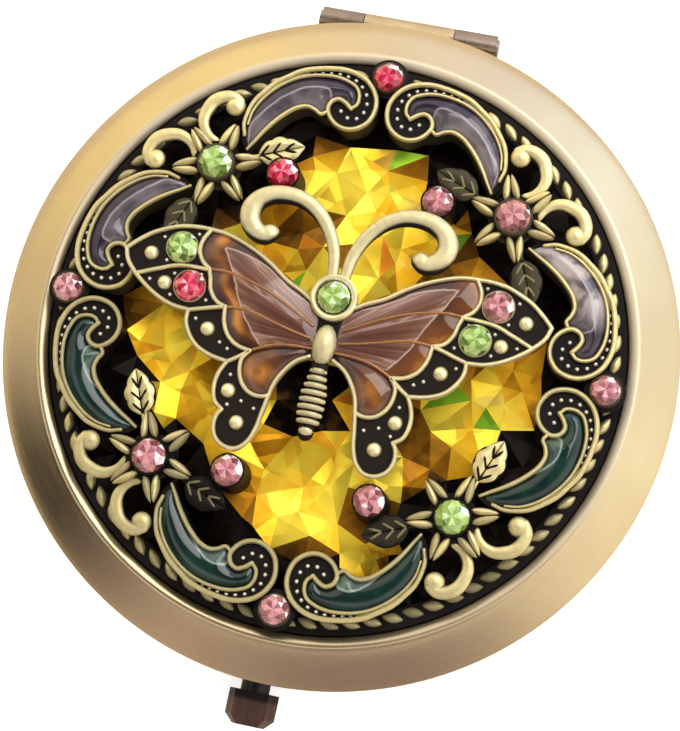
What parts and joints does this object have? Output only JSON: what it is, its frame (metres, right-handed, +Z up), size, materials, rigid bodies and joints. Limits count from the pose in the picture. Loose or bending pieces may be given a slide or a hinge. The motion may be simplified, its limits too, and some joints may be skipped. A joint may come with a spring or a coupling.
{
  "type": "compact mirror",
  "caption": "Round hinged compact mirror with a jewelled butterfly and scroll lid, a mirror in each half and a push-button catch at the front.",
  "frame": {"origin": "centre of the flat underside of the base", "axes": "+Z up through the closed lid and its ornament, +Y towards the hinge, -Y towards the push button"},
  "size_m": [0.07, 0.076, 0.0162],
  "materials": {
    "satin_brass": "satin, lightly brushed",
    "antique_brass": "cast, dark patina in the recesses",
    "hinge_bronze": "satin bronze",
    "dark_bronze": "dark brown patina",
    "spring_steel": "plain",
    "mirror_glass": "polished",
    "mirror_pad": "soft pad",
    "gold_foil": "crinkled gold foil",
    "violet_enamel": "domed glossy enamel",
    "green_enamel": "domed glossy enamel",
    "brown_enamel": "domed glossy enamel",
    "peridot_stone": "faceted",
    "ruby_stone": "faceted",
    "rose_stone": "faceted"
  },
  "bodies": {
    "base": {"base_shell": "satin_brass", "base_tray": "satin_brass", "base_mirror_pad": "mirror_pad", "base_mirror_glass": "mirror_glass", "base_mirror_bezel": "satin_brass", "hinge_knuckle_left": "hinge_bronze", "hinge_knuckle_right": "hinge_bronze", "hinge_pin": "spring_steel", "button_bushing": "hinge_bronze", "latch_guide": "hinge_bronze", "latch_spring": "spring_steel"},
    "lid": {"lid_shell": "satin_brass", "lid_mirror_pad": "mirror_pad", "lid_mirror_glass": "mirror_glass", "lid_mirror_bezel": "satin_brass", "hinge_knuckle_lid": "hinge_bronze", "lid_catch": "spring_steel", "foil_panel": "gold_foil", "rope_border": "antique_brass", "border_filigree": "antique_brass", "butterfly": "antique_brass", "enamel_violet_back_right_1": "violet_enamel", "enamel_violet_back_right_2": "violet_enamel", "enamel_violet_back_left_1": "violet_enamel", "enamel_violet_back_left_2": "violet_enamel", "enamel_green_front_left_1": "green_enamel", "enamel_green_front_left_2": "green_enamel", "enamel_green_front_right_1": "green_enamel", "enamel_green_front_right_2": "green_enamel", "enamel_forewing_left": "brown_enamel", "enamel_forewing_right": "brown_enamel", "enamel_hindwing_left": "brown_enamel", "enamel_hindwing_right": "brown_enamel", "stone_flower_back_right": "rose_stone", "stone_flower_back_left": "peridot_stone", "stone_flower_front_left": "rose_stone", "stone_flower_front_right": "peridot_stone", "stone_border_back": "ruby_stone", "stone_border_left": "rose_stone", "stone_border_front": "rose_stone", "stone_border_right": "rose_stone", "stone_accent_back_left": "ruby_stone", "stone_accent_back_right": "rose_stone", "stone_accent_front_left": "rose_stone", "stone_accent_front_right": "rose_stone", "stone_wing_upper_left": "peridot_stone", "stone_wing_upper_right": "rose_stone", "stone_wing_lower_left": "ruby_stone", "stone_wing_lower_right": "peridot_stone", "stone_head": "peridot_stone"},
    "button": {"button_cap": "dark_bronze", "button_stem": "dark_bronze", "latch_hook": "spring_steel"}
  },
  "joints": [
    {"name": "lid_hinge", "type": "hinge", "parent": "base", "child": "lid", "pos_m": [0.00025, 0.03515, 0.0051], "axis": [-1, 0, 0], "range_deg": [0, 125]},
    {"name": "button_press", "type": "slide", "parent": "base", "child": "button", "axis": [0, 1, 0], "range_m": [0, 0.001], "stiffness_N_per_m": 600, "springref_m": -0.0015, "deforming": ["latch_spring"]}
  ]
}
